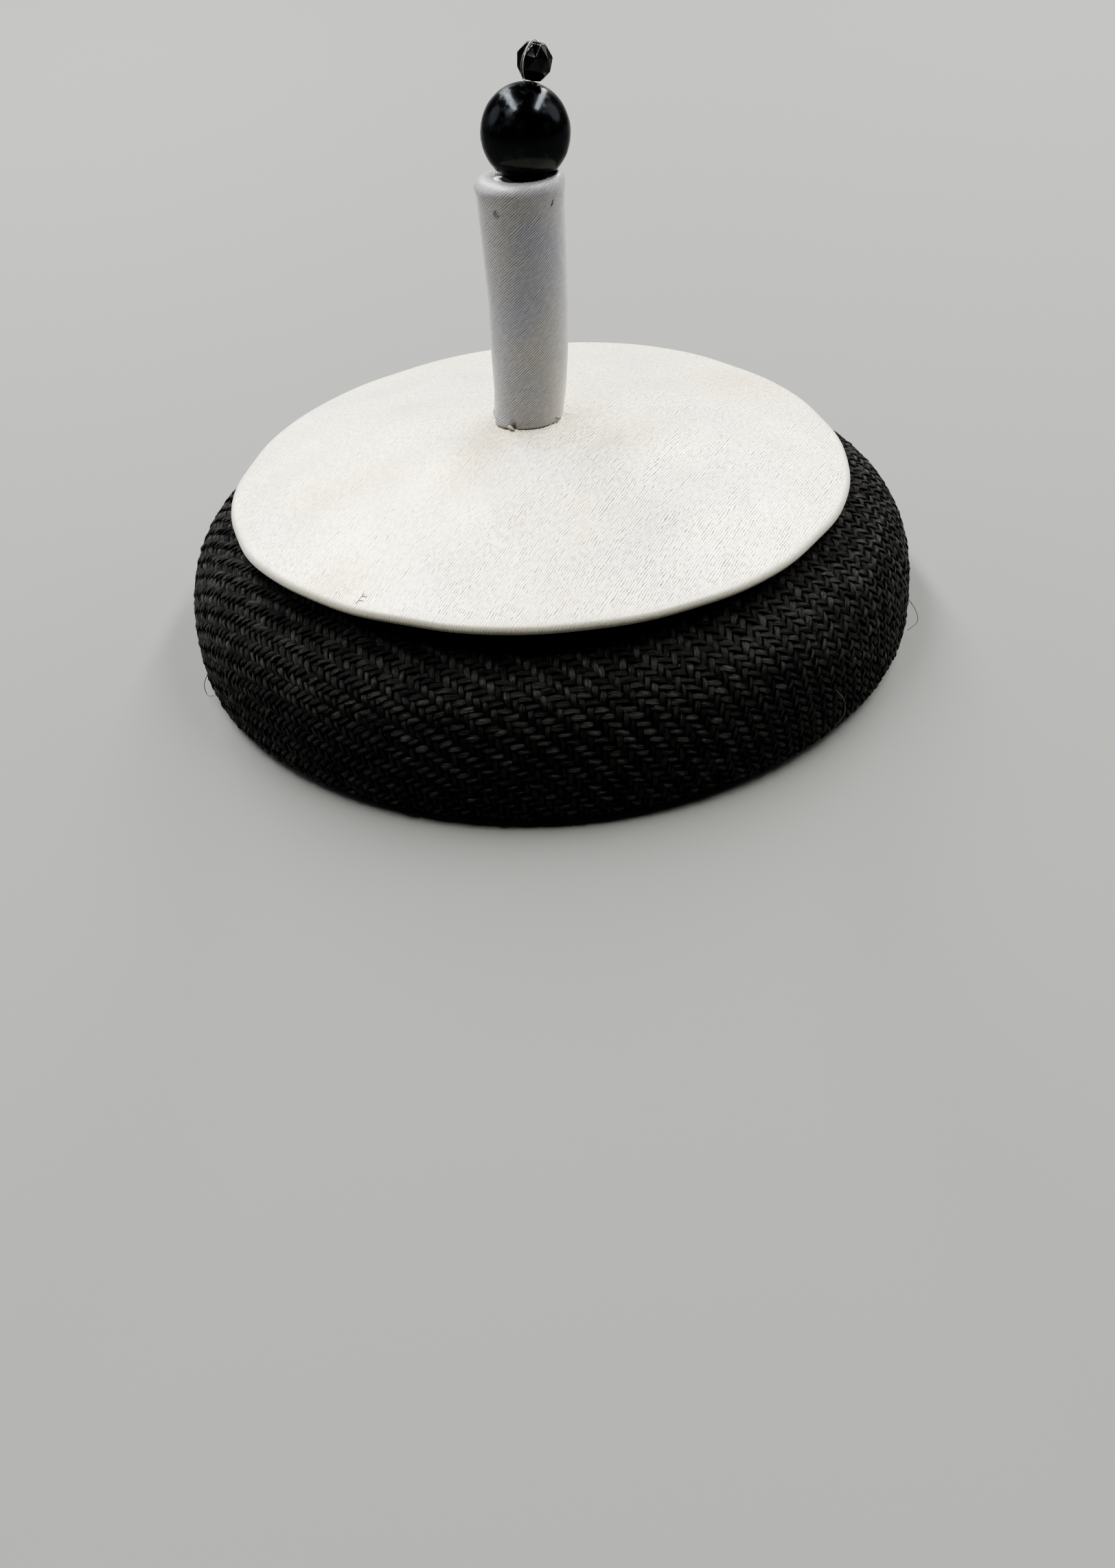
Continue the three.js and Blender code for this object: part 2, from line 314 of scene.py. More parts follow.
way, section, section_normal = crown_section(SECTION_STEP)
outside = section - section_normal * STRAND_DEPTH
inside = section - section_normal * CROWN_WALL
outside[:, 0] = np.maximum(outside[:, 0], 0.0)
inside[:, 0] = np.maximum(inside[:, 0], 0.0)
points, faces, places = turned(np.concatenate([outside, inside[::-1]]), SHELL_SEGMENTS)
places = cloth_places(places, np.concatenate([way, way[::-1]]) / STRAND_PITCH)
crown_shell = add_piece("crown_shell", points, faces, shell_finish(), places)
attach(crown_shell, "root")
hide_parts("crown")

# Straw crown, the strands
# Split straw in two sets, warp from back to front and weft from side to side, woven over two and under two.
# The cloth was pulled over a block, so that a strand keeps its way from the crown's middle.
STRAND_WIDTHS = {"warp": 1.36, "weft": 1.28}
STRAND_HEIGHTS = {"warp": 0.27, "weft": 0.34}
STRAND_ACROSS = np.array([-1.0, -0.84, 0.0, 0.84, 1.0])
STRAND_SHAPE = np.array([0.0, 0.8, 1.0, 0.8, 0.0])
WAVE = 0.225
FLOAT_ARCH = 0.07
STRAND_PROUD = 0.12
STRAND_NARROWS = 0.84
STRAND_VARIES = {"drift": (0.3, 9), "width": (0.28, 5), "lift": (0.10, 5), "slant": (0.2, 5),
                 "thickness": (0.12, 5)}
STRAND_APART = 41.7
REACH_IN = 53.0
HEM_MARGIN = 0.2
STRAW_SEED = 11
STRAW_DARK_AND_SHADE = (0.0001, 0.0001, 0.0001, 1.0)
STRAW_LIGHT = (0.0013, 0.0014, 0.0010, 1.0)
STRAW_SHEEN = (0.001, 0.001, 0.0008, 1.0)


def on_crown(across, along, height):
    """Cloth to space: a point of the flat cloth keeps its direction from the middle, and its distance is
    measured over the crown's section. Height is out from the section, along its normal."""
    reach = np.hypot(across, along)
    turn = np.arctan2(along, across)
    radius = np.interp(reach, way, section[:, 0]) + height * np.interp(reach, way, section_normal[:, 0])
    level = np.interp(reach, way, section[:, 1]) + height * np.interp(reach, way, section_normal[:, 1])
    return np.stack([radius * np.cos(turn), radius * np.sin(turn), np.maximum(level, 0.0)], -1)


def softened(values, width):
    """Values averaged along their second axis over a few neighbours."""
    kernel = np.hanning(width + 2)[1:-1]
    kernel /= kernel.sum()
    padded = np.pad(values, ((0, 0), (width // 2, width // 2)), mode="edge")
    return np.stack([padded[:, i:i + values.shape[1]] * k for i, k in enumerate(kernel)]).sum(0)


def strands(kind, number, random):
    """Strands of one set as closed ribbons on the crown. A ribbon has two stations to a crossing. Its
    underside is high over a crossing where it is on top, low where it is under, and between them in the
    middle, and its top is a low arch across. Place, width, lift, slant and thickness vary smoothly along it,
    each by a size and over a number of stations. Gives points (strand, station, across), which stations are
    kept, and a tone for each float."""
    steps = int(way[-1] / STRAND_PITCH) + 2
    station = np.arange(-2 * steps, 2 * steps + 1)
    crossing = (station - 1) // 2
    counted = number[:, None] + crossing[None, :]
    warp_up = np.mod(counted, TWILL_REPEAT) < TWILL_REPEAT / 2
    upper = warp_up if kind == "warp" else ~warp_up
    level = np.where(upper, WAVE, -WAVE)
    between = station % 2 == 0
    before = np.roll(level, 1, axis=1)
    after = np.roll(level, -1, axis=1)
    middle = (before + after) / 2 + np.where((before > 0) & (after > 0), FLOAT_ARCH, 0.0)
    level = np.where(between[None, :], middle, level)
    shape = level.shape
    drift, widening, lift, slant, thickening = (
        softened(random.normal(0.0, size, shape), stations) for size, stations in STRAND_VARIES.values())
    narrowing = np.where(between[None, :] & (before != after), STRAND_NARROWS, 1.0)
    width = STRAND_WIDTHS[kind] / 2 * narrowing * (1.0 + widening)
    thick = STRAND_HEIGHTS[kind] * (1.0 + thickening)
    centre = (number[:, None] + 0.5) * STRAND_PITCH + drift
    side = centre[..., None] + STRAND_ACROSS * width[..., None]
    onward = np.broadcast_to((station / 2 * STRAND_PITCH)[None, :, None], side.shape)
    under = -STRAND_DEPTH + WAVE + level + lift * (level > 0)
    height = under[..., None] + STRAND_SHAPE * thick[..., None] + STRAND_ACROSS * slant[..., None]
    height = np.minimum(height, STRAND_PROUD)
    if kind == "warp":
        points = on_crown(side, onward, height)
    else:
        points = on_crown(onward, 2 * centre[..., None] - side, height)
    reach = np.hypot(centre, station / 2 * STRAND_PITCH)
    kept = (reach > REACH_IN) & (reach < way[-1] - HEM_MARGIN)
    floats = random.uniform(0.0, 1.0, (len(number), len(station) // (2 * TWILL_REPEAT) + 2))
    which = counted // TWILL_REPEAT - counted.min() // TWILL_REPEAT
    tone = np.take_along_axis(floats, which % floats.shape[1], axis=1)
    return points, kept, tone


def ribbons(points, kept):
    """Faces of closed ribbons from points (strand, station, across): four strips over the top, one below, and
    a cap at each end of every kept stretch. Gives the faces and every corner's place (along, across), with
    each strand's own stretch of the first."""
    count, stations, across = points.shape[:3]
    index = np.arange(count * stations * across).reshape(count, stations, across)
    strand, station = np.nonzero(kept[:, :-1] & kept[:, 1:])
    here = index[strand, station]
    there = index[strand, station + 1]
    quads = np.stack([here, np.roll(here, -1, 1), np.roll(there, -1, 1), there], -1).reshape(-1, 4)
    padded = np.pad(kept, ((0, 0), (1, 1)))
    opens = index[np.nonzero(kept & ~padded[:, :-2])]
    ends = index[np.nonzero(kept & ~padded[:, 2:])]
    faces = [quads, opens[:, ::-1], ends]
    corners = np.concatenate([face.ravel() for face in faces])
    strand_of = corners // (stations * across)
    station_of = corners // across % stations
    onward = station_of * STRAND_PITCH / 2 + strand_of * STRAND_APART
    return faces, np.stack([onward, STRAND_ACROSS[corners % across]], -1)


def strand_finish():
    """A strand of black straw: a bundle of two to four fibres, so noise drawn out along the strand gives the
    lines, and each float has a tone of its own. It is dull and nearly black, and darker towards a strand's
    edges as painted shade between the strands. Some of its fibres, more on floats of a light tone, are smooth
    and glint."""
    material, shader, place = new_finish("straw_strand", "UV")
    tone = place.node("ShaderNodeAttribute", {"attribute_name": "tone"}, {}, 2)
    fibres = place.stretched((0.16, 2.1, 0.0)).noise(1.6, 2.0, 0.6)
    fine = place.stretched((0.5, 7.0, 0.0)).noise(1.3, 3.0, 0.6)
    edge = place.math("ABSOLUTE", place.part(1)).smooth(0.55, 1.0)
    # The edge term darkens the colour towards a strand's sides: painted shade where the strands meet.
    light = (fibres * 1.2 + fine * 0.5 + tone * 0.5 - 0.55 - edge * 0.5).smooth(0.1, 1.0)
    glint = (fibres * 0.8 + fine * 1.3 + tone * 0.3 - edge * 0.7).smooth(0.85, 1.75)
    relief = (fibres * 1.3 + fine * 0.6).bump(1.0, 0.38)
    place.fill(shader, {
        "Base Color": light.mix(STRAW_DARK_AND_SHADE, STRAW_LIGHT),
        "Roughness": 0.6,
        "Normal": relief,
        "Specular IOR Level": 0.012,
    })
    smooth = place.node("ShaderNodeBsdfPrincipled", {}, {
        "Base Color": STRAW_SHEEN,
        "Roughness": 0.33,
        "Normal": relief,
        "Specular IOR Level": 0.17,
    })
    dull = Shade(place.tree, shader.outputs[0])
    both = place.node("ShaderNodeMixShader", {}, {0: glint, 1: dull, 2: smooth})
    place.fill(place.tree.nodes["Material Output"], {"Surface": both})
    return material


straw = strand_finish()
random = np.random.default_rng(STRAW_SEED)
strand_count = int(way[-1] / STRAND_PITCH) + 1
for name, kind, low, high in (
    ("warp_left", "warp", -strand_count, 0), ("warp_right", "warp", 0, strand_count),
    ("weft_front", "weft", -strand_count, 0), ("weft_back", "weft", 0, strand_count),
):
    points, kept, tone = strands(kind, np.arange(low, high), random)
    faces, places = ribbons(points, kept)
    tone = np.repeat(tone.ravel(), len(STRAND_ACROSS))
    piece = add_piece("straw_" + name, points.reshape(-1, 3), faces, straw, places, tone)
    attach(piece, "root")

# Satin disc
# A stiff round board covered with ivory satin like the face of a button, a shallow dome with a soft wrapped
# edge. It lies on the crown's top, a little left of its middle, and the threads run slanting across it.
DISC_SHIFT = -1.0
DISC_WARP = {"side": -0.84, "front": 1.13, "slant": 1.24}
DISC_SEGMENTS = 288
DISC_ROWS = {"dome": 56, "edge": 14, "under": 24}
DISC_THREADS = {"turn": np.radians(30.0), "pitch": 0.46, "faint": 0.4, "broken": 1.05, "dash": 1.0,
                "depth": 0.3, "gloss": 0.45}
DISC_COLOUR = (0.99, 0.92, 0.67)
# Reach past which the wrapped edge is painted grey: painted shade where it faces away from the lights.
DISC_EDGE_SHADE_FROM = 63.3
GAP_COLOUR = (0.035, 0.033, 0.03, 1.0)
# The edge tone is painted shade on the wrapped edge; the brown tone paints soiling and the stem's shadow.
SATIN_TONES = {"own": (1.0, 1.0, 1.0), "cool": (0.8, 0.86, 1.08), "speck": (0.62, 0.61, 0.57),
               "stain_and_shadow": (0.55, 0.44, 0.31), "edge": (0.36, 0.37, 0.4)}
EDGE_FLAT = {"angle": np.radians(-134.0), "width": np.radians(9.0), "depth": 0.55}
# Soiled spots on the disc as (x, y, radius, strength); the one at (-8, -7) is the stem's painted shadow.
DISC_STAINS_AND_SHADOW = ((-42.0, -16.0, 13.0, 0.5), (-30.0, -14.0, 12.0, 0.5), (-12.0, -20.0, 12.0, 0.45),
          (-39.0, -48.0, 13.0, 0.6), (47.0, 26.0, 16.0, 0.5), (15.0, -9.0, 14.0, 0.35),
          (-8.0, -7.0, 12.0, 0.7), (1.0, -11.0, 9.0, 0.4))
EDGE_WAVES = ((3, 0.24, 0.4), (5, 0.2, 2.1), (9, 0.15, 4.0), (14, 0.11, 1.2), (23, 0.06, 0.3))
PUFFS = ((0.21, 0.12, 0.5, 0.14), (-0.16, 0.24, 2.2, 0.12), (0.33, -0.2, 4.1, 0.08),
         (0.09, 0.31, 1.0, 0.1))
PUFFS_START = 4.0
RIM_POWER = 6


def bends(x, y):
    """The board's bends at places from the disc's middle: the squares and the product of the shares of the
    radius across and along."""
    across, along = x / DISC_RADIUS, y / DISC_RADIUS
    squares = DISC_WARP["side"] * across ** 2 + DISC_WARP["front"] * along ** 2
    return squares + DISC_WARP["slant"] * across * along


def puffs(x, y):
    """How high the satin puffs up at places from the disc's middle: a few waves across it, less towards the
    stem with the square of the way out, and less towards the rim with a high power of it."""
    out = np.hypot(x, y) / DISC_RADIUS
    waves = sum(size * np.sin(x * right + y * back + start) for right, back, start, size in PUFFS)
    return waves * np.maximum(1.0 - out ** RIM_POWER, 0.0) * np.minimum(out * PUFFS_START, 1.0) ** 2


def disc_points():
    """The disc's section turned about its own axis: the domed top, a half circle at the edge and the parallel
    underside. Then the bends, the puffs on top, and the edge's wobble, waves round it and one flattened
    stretch, which grows with a high power of the way out."""
    half = DISC_THICKNESS / 2
    centre = DISC_RADIUS - half
    radius = np.linspace(0.0, centre, DISC_ROWS["dome"])
    top = np.stack([radius, disc_top(radius)], -1)
    angle = np.linspace(np.pi / 2, -np.pi / 2, DISC_ROWS["edge"])[1:-1]
    edge = np.stack([centre + half * np.cos(angle), disc_top(centre) - half + half * np.sin(angle)], -1)
    radius = np.linspace(centre, 0.0, DISC_ROWS["under"])
    under = np.stack([radius, disc_top(radius) - DISC_THICKNESS], -1)
    profile = np.concatenate([top, edge, under])
    points, faces, places = turned(profile, DISC_SEGMENTS)
    reach = np.concatenate([[0.0], np.cumsum(np.hypot(*np.diff(profile, axis=0).T))])
    places = cloth_places(places, reach)
    x, y = points[:, 0].copy(), points[:, 1].copy()
    on_top = np.arange(len(points)) < len(top) * DISC_SEGMENTS
    points[:, 2] += bends(x, y) + puffs(x, y) * on_top
    turn = np.arctan2(y, x)
    out = (np.hypot(x, y) / DISC_RADIUS) ** RIM_POWER
    wobble = sum(size * np.sin(count * turn + start) for count, size, start in EDGE_WAVES)
    away = np.angle(np.exp(1j * (turn - EDGE_FLAT["angle"])))
    wobble = wobble - EDGE_FLAT["depth"] * np.exp(-(away / EDGE_FLAT["width"]) ** 2)
    points[:, :2] += (wobble * out)[:, None] * np.stack([np.cos(turn), np.sin(turn)], -1)
    points[:, 0] += DISC_SHIFT
    return points, faces, places


def satin_finish(name, threads, colour, edge_shade_from=0.0, stains_and_shadow=()):
    """Ivory satin on places in millimetres of the cloth. Its threads are waves at an even pitch that sway a
    little, and the gaps between them are dark lines, faint everywhere and strong in dashes set by noise drawn
    out along the threads. Of the threads, turn sets them upright along the second axis, faint is the gaps'
    strength outside the dashes, broken how much they waver and fleck, dash how dark they are, depth how far
    the threads stand up, and gloss the share of light that they mirror. The reach after the colour is where
    the cloth starts to be painted grey, with its dark lines fading: painted shade on the wrapped edge, which
    faces away from the lights. The last argument holds soft darker spots as (x, y, radius, strength): soiled
    spots, and on the disc one painted shadow that the stem casts at its foot."""
    material, shader, place = new_finish(name, "UV")
    faint, broken, gloss = threads["faint"], threads["broken"], threads["gloss"]
    flat = place.stretched((1.0, 1.0, 1.0), threads["turn"])
    sway = flat.stretched((0.3, 0.12, 0.0)).noise(1.0, 3.0, 0.55)
    fine = flat.stretched((5.0, 1.2, 0.0)).noise(1.0, 2.0, 0.6)
    across = flat.part(0) / threads["pitch"] + sway * 2.8 + fine * (0.6 * broken)
    lines = across.math("SINE", across * (2 * np.pi)).smooth(-0.3, 0.7)
    breaks = flat.stretched((1.6, 0.7, 0.0)).noise(1.0, 2.0, 0.5)
    patches = flat.stretched((0.09, 0.09, 0.0)).noise(1.0, 3.0, 0.6)
    stain_and_shadow = flat.stretched((0.045, 0.045, 0.0)).noise(1.7, 2.0, 0.5).smooth(0.6, 0.8) * 0.4
    # Soft darker spots; on the disc one of them is the stem's painted shadow at the left front of its foot.
    for x, y, radius, strength in stains_and_shadow:
        away = place.node("ShaderNodeVectorMath", {"operation": "DISTANCE"}, {0: place, 1: (x, y, 0.0)}, 1)
        stain_and_shadow = stain_and_shadow + (away + (patches - 0.5) * 14.0).smooth(radius, 0.0) * strength
    specks = flat.stretched((3.4, 2.2, 0.0)).noise(1.0, 3.0, 0.65).smooth(0.44, 0.66)
    strong = (breaks + (fine - 0.5) * (0.9 * broken) + (patches - 0.5) * 0.3).smooth(0.36, 0.66)
    gaps = (lines * (strong * (1.0 - faint) + faint)).smooth(0.15, 0.8)
    tint = {tone: tuple(part * share for part, share in zip(colour, shares)) + (1.0,)
            for tone, shares in SATIN_TONES.items()}
    cool = flat.stretched((0.035, 0.035, 0.0)).noise(1.0, 2.0, 0.5).smooth(0.46, 0.66)
    stained = cool.mix(tint["own"], tint["cool"])
    stained = (specks * (0.8 * broken)).mix(stained, tint["speck"])
    stained = stain_and_shadow.mix(stained, tint["stain_and_shadow"])
    # Past that reach the colour is painted grey and the dark lines fade: painted shade on the wrapped edge.
    if edge_shade_from:
        reach = place.node("ShaderNodeVectorMath", {"operation": "LENGTH"}, {0: place}, 1)
        edge = reach.smooth(edge_shade_from - 1.0, edge_shade_from + 1.5)
        stained = edge.mix(stained, tint["edge"])
        gaps = gaps * (1.0 - edge * 0.6)
    place.fill(shader, {
        "Base Color": (gaps * threads["dash"]).mix(stained, GAP_COLOUR),
        "Metallic": gloss - gaps * gloss,
        "Roughness": 0.42 + gaps * 0.2 + (patches - 0.5) * 0.2,
        "Normal": ((1.0 - gaps) * 0.7 + fine * 0.3).bump(0.5, threads["depth"]),
        "Sheen Weight": 0.2,
        "Sheen Roughness": 0.3,
    })
    return material


points, faces, places = disc_points()
disc_satin = satin_finish("satin_disc", DISC_THREADS, DISC_COLOUR, DISC_EDGE_SHADE_FROM, DISC_STAINS_AND_SHADOW)
top_disc = add_piece("satin_disc", points, faces, disc_satin, places)
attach(top_disc, "root")
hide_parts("top_disc")

# Satin stem
# A tube covered with the same satin cut on the cross, so that its threads climb round it. It is sewn to the
# disc, leans and widens a little upwards, and the satin rolls over its mouth, thicker on the left.
STEM_LENGTH = 45.1
STEM_SHIFT = -1.95
STEM_AT = (0.0, 0.13, 0.28, 0.5, 0.88, 1.0)
STEM_DIAMETERS = (13.9, 14.5, 15.1, 15.2, 15.9, 16.6)
STEM_SHIFTS = (0.0, 0.7, 1.1, 1.5, 1.5, 1.5)
STEM_WALL = 2.0
LIP_RADIUS = 2.0
LIP_INSIDE = {"in": 1.2, "down": 2.8}
MOUTH_SHIFT = 1.75
MOUTH_STARTS = 0.88
STEM_SEGMENTS = 128
STEM_ROWS = {"side": 90, "lip": 22, "bore": 30}
SIDE_SMOOTHING = 13
LIP_BLEND_ROWS = 6
LIP_PLEATS = {"count": 46, "depth": 0.16, "height": 3.2, "uneven": 2.0, "uneven_count": 3}
FOOT_FOLD = {"angle": np.radians(-141.0), "width": np.radians(20.0), "height": 1.5, "out": 0.75}
FOOT_TUCK = {"angle": np.radians(-117.0), "width": np.radians(3.2), "height": 1.3, "out": -0.5}
FOOT_STITCH = {"angle": np.radians(-10.0), "width": np.radians(3.0), "height": 1.6, "out": -0.6}
STEM_THREADS = {"turn": np.radians(50.0), "pitch": 0.36, "faint": 0.6, "broken": 0.35, "dash": 0.97,
                "depth": 0.2, "gloss": 0.3}
# The disc's ivory satin painted a cool dark grey: painted shade on the stem, which the lights reach less.
STEM_SHADED_COLOUR = (0.205, 0.21, 0.228)


def stem_points():
    """The stem's section, up the outside, over the half circle of the lip and down the bore, turned about +Z.
    The foot's fold stands out and its tuck and stitch pull in, the lip's pleats are waves round it, and then
    every height moves right by its row, with the mouth moved right inside the lip."""
    foot = disc_top(0.0) + SEAT_GAP
    outer = STEM_DIAMETERS[-1] / 2
    at = np.linspace(0.0, 1.0 - LIP_RADIUS / STEM_LENGTH, STEM_ROWS["side"])
    side = np.stack([np.interp(at, STEM_AT, STEM_DIAMETERS) / 2, at * STEM_LENGTH], -1)
    kernel = np.hanning(SIDE_SMOOTHING)[1:-1]
    padded = np.pad(side[:, 0], len(kernel) // 2, mode="edge")
    side[:, 0] = np.convolve(padded, kernel / kernel.sum(), mode="valid")
    angle = np.linspace(0.0, np.pi, STEM_ROWS["lip"])[1:]
    over = angle > np.pi / 2
    roll = np.stack([outer - LIP_RADIUS + np.where(over, LIP_INSIDE["in"], LIP_RADIUS) * np.cos(angle),
                     STEM_LENGTH - np.where(over, LIP_INSIDE["down"], LIP_RADIUS) * (1 - np.sin(angle))], -1)
    side[-LIP_BLEND_ROWS:, 0] += (outer - side[-1, 0]) * np.linspace(0.0, 1.0, LIP_BLEND_ROWS) ** 2
    at = np.linspace(1.0 - 2 * LIP_RADIUS / STEM_LENGTH, 0.0, STEM_ROWS["bore"])
    bore = np.stack([np.interp(at, STEM_AT, STEM_DIAMETERS) / 2 - STEM_WALL, at * STEM_LENGTH], -1)
    profile = np.concatenate([side, roll, bore])
    points, faces, places = turned(profile[::-1], STEM_SEGMENTS, closed=True)
    radius, turn = np.hypot(points[:, 0], points[:, 1]), np.arctan2(points[:, 1], points[:, 0])
    height = points[:, 2].copy()
    outward = np.zeros(len(points))
    for mark in (FOOT_FOLD, FOOT_TUCK, FOOT_STITCH):
        away = np.angle(np.exp(1j * (turn - mark["angle"])))
        outward += mark["out"] * np.exp(-(away / mark["width"]) ** 4 - (height / mark["height"]) ** 2)
    near_lip = np.clip((height - STEM_LENGTH) / LIP_PLEATS["height"] + 1.0, 0.0, 1.0)
    inwards = np.clip((outer - radius) / (2 * LIP_RADIUS), 0.0, 1.0)
    uneven = LIP_PLEATS["uneven"] * np.sin(LIP_PLEATS["uneven_count"] * turn)
    pleats = np.sin(LIP_PLEATS["count"] * turn + uneven) * np.sin(np.pi * inwards)
    outward += LIP_PLEATS["depth"] * pleats * near_lip
    mid_wall = np.interp(height / STEM_LENGTH, STEM_AT, STEM_DIAMETERS) / 2 - STEM_WALL / 2
    outer_side = (radius > mid_wall) | (near_lip > 0)
    points[:, :2] *= (1.0 + outward * outer_side / radius)[:, None]
    share = np.clip(height / STEM_LENGTH, 0.0, 1.0)
    rise = np.clip((share - MOUTH_STARTS) / (1.0 - LIP_RADIUS / STEM_LENGTH - MOUTH_STARTS), 0.0, 1.0)
    points[:, 0] += STEM_SHIFT + np.interp(share, STEM_AT, STEM_SHIFTS)
    points[:, 0] += MOUTH_SHIFT * (3 * rise ** 2 - 2 * rise ** 3) * inwards
    points[:, 2] += foot
    length = np.concatenate([[-STEM_WALL, 0.0], np.cumsum(np.hypot(*np.diff(profile, axis=0).T))])[::-1]
    around = places[:, 0] * np.pi * STEM_DIAMETERS[3]
    return points, faces, np.stack([around, length[places[:, 1].astype(int)]], -1)


points, faces, places = stem_points()
stem_satin = satin_finish("satin_stem", STEM_THREADS, STEM_SHADED_COLOUR)
stem = add_piece("satin_stem", points, faces, stem_satin, places)
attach(stem, "root")
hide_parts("stem")

# Round bead
# A round bead of glossy black plastic, drilled, that sits in the stem's mouth with its bore leaning right.
ROUND_BEAD_RADIUS = 8.0
ROUND_BORE_RADIUS = 1.0
ROUND_BORE_CHAMFER = 0.4
BEAD_RISE = 6.5
BEAD_LEAN = np.radians(12.0)
BEAD_SEGMENTS = 96
BEAD_ROWS = 64
ROUND_GLOSS = {"colour": (0.0048, 0.0055, 0.0062, 1.0), "roughness": 0.26, "grain": 0.16}
RIM_GLOSS = (0.55, 0.55, 0.55, 1.0)
BEADS_CENTRE = np.array([STEM_SHIFT + STEM_SHIFTS[-1] + MOUTH_SHIFT, 0.0,
                         disc_top(0.0) + SEAT_GAP + STEM_LENGTH + BEAD_RISE])


def leaning(points):
    """Points of the beads' own frame, whose +Z is their bore, leaned to the right and put on the stem."""
    x, y, z = points.T
    right = x * np.cos(BEAD_LEAN) + z * np.sin(BEAD_LEAN)
    up = z * np.cos(BEAD_LEAN) - x * np.sin(BEAD_LEAN)
    return np.stack([right, y, up], -1) + BEADS_CENTRE


def gloss_finish(name, colour, roughness, grain):
    """Black gloss with the faint unevenness of handling: noise changes the roughness, and a finer noise makes
    the reflections' edges waver. All the light it gives is reflection, in the shares of colour seen straight
    on, and kept low by the specular tint towards the rim."""
    material, shader, place = new_finish(name, "Object")
    metres = 1 / MM
    wear = place.noise(0.35 * metres, 3.0, 0.6).smooth(0.45, 0.7)
    place.fill(shader, {
        "Base Color": wear.mix(colour, tuple(part * 1.3 for part in colour[:3]) + (1.0,)),
        "Metallic": 1.0,
        "Specular Tint": RIM_GLOSS,
        "Roughness": wear * roughness + roughness * 0.6,
        "Normal": place.noise(3.0 * metres, 2.0).bump(grain, 0.03),
    })
    return material


mouth = ROUND_BORE_RADIUS + ROUND_BORE_CHAMFER
mouth_angle = np.arccos(mouth / ROUND_BEAD_RADIUS)
angle = np.linspace(-mouth_angle, mouth_angle, BEAD_ROWS)
ball = ROUND_BEAD_RADIUS * np.stack([np.cos(angle), np.sin(angle)], -1)
bore_end = ball[-1, 1] - ROUND_BORE_CHAMFER
bore = np.array([[ROUND_BORE_RADIUS, bore_end], [ROUND_BORE_RADIUS, -bore_end]])
points, faces, _ = turned(np.concatenate([ball, bore])[::-1], BEAD_SEGMENTS, closed=True)
round_bead = add_piece("round_bead_gloss", leaning(points), faces,
                       gloss_finish("bead_gloss", **ROUND_GLOSS))
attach(round_bead, "root")
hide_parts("round_bead")

# Faceted bead
# A small bead of black glass with three rows of eight facets, fire polished so that its edges are soft, and
# drilled. It stops the thread on top of the round bead.
FACETED_GAP = 0.45
FACETED_BORE_RADIUS = 0.75
FACETS_AROUND = 8
FACETED_RINGS = ((-2.75, 1.75, 0.0), (-1.0, 3.1, 0.5), (1.0, 3.1, 0.0), (2.75, 1.75, 0.5))
FACETED_SOFTNESS = {"width": 0.10, "segments": 2, "least_angle": np.radians(12.0)}
FACETED_GLOSS = {"colour": (0.012, 0.012, 0.0122, 1.0), "roughness": 0.1, "grain": 0.06}


def faceted_points():
    """Rings of sixteen points, the eight corners and the middles between them. Two rings half a step apart
    are joined by triangles from corner to corner, which are flat in pairs, and the bore closes the body."""
    count = 2 * FACETS_AROUND
    slot_angle = np.arange(count) / count * 2 * np.pi
    rings = []
    for height, radius, turn in FACETED_RINGS:
        corner = np.arange(count) % 2 == round(2 * turn)
        size = np.where(corner, radius, radius * np.cos(np.pi / FACETS_AROUND))
        rings.append((size, height))
    bore = np.full(count, FACETED_BORE_RADIUS)
    rings += [(bore, FACETED_RINGS[-1][0]), (bore, FACETED_RINGS[0][0])]
    points = [np.stack([size * np.cos(slot_angle), size * np.sin(slot_angle), np.full(count, height)], -1)
              for size, height in rings]
    total = len(rings)
    slot = np.arange(count)
    after = (slot + 1) % count
    faces = []
    for low in range(total):
        high = (low + 1) % total
        a, b, c, d = low * count + slot, low * count + after, high * count + after, high * count + slot
        if low < len(FACETED_RINGS) - 1:
            from_low = (slot % 2 == round(2 * FACETED_RINGS[low][2]))[:, None]
            faces.append(np.where(from_low, np.stack([a, b, c], -1), np.stack([a, b, d], -1)))
            faces.append(np.where(from_low, np.stack([a, c, d], -1), np.stack([b, c, d], -1)))
        else:
            faces.append(np.stack([a, b, c, d], -1))
    return np.concatenate(points), faces


points, faces = faceted_points()
points[:, 2] += ROUND_BEAD_RADIUS + FACETED_GAP + FACETED_RINGS[-1][0]
faceted_bead = add_piece("faceted_bead_glass", leaning(points), faces,
                         gloss_finish("bead_cut_glass", **FACETED_GLOSS), smooth=False)
soft = faceted_bead.modifiers.new("fire_polish", "BEVEL")
soft.width = FACETED_SOFTNESS["width"] * MM
soft.segments = FACETED_SOFTNESS["segments"]
soft.limit_method = "ANGLE"
soft.angle_limit = FACETED_SOFTNESS["least_angle"]
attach(faceted_bead, "root")
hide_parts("faceted_bead")

# Bead thread
# A few fine filaments of sewing thread, one pale and two dark, that come up through both beads, cross the
# left front of the faceted bead and go back into the round bead's bore. The pale one's colour is a painted
# highlight where the thread catches the light.
THREAD_SIDE = np.array([-0.6, -0.8])
THREAD_ROUTE = ((-0.4, -11), (-0.4, 0), (-0.4, 7), (-0.3, 11.2), (-0.2, 13.4), (0.4, 14.4), (1.5, 14.3),
                (2.7, 13.2), (3.5, 11.4), (3.2, 9.7), (2.4, 8.5), (1.5, 8.15), (0.8, 7.75), (0.4, 6.5),
                (0.4, 0), (0.4, -11))
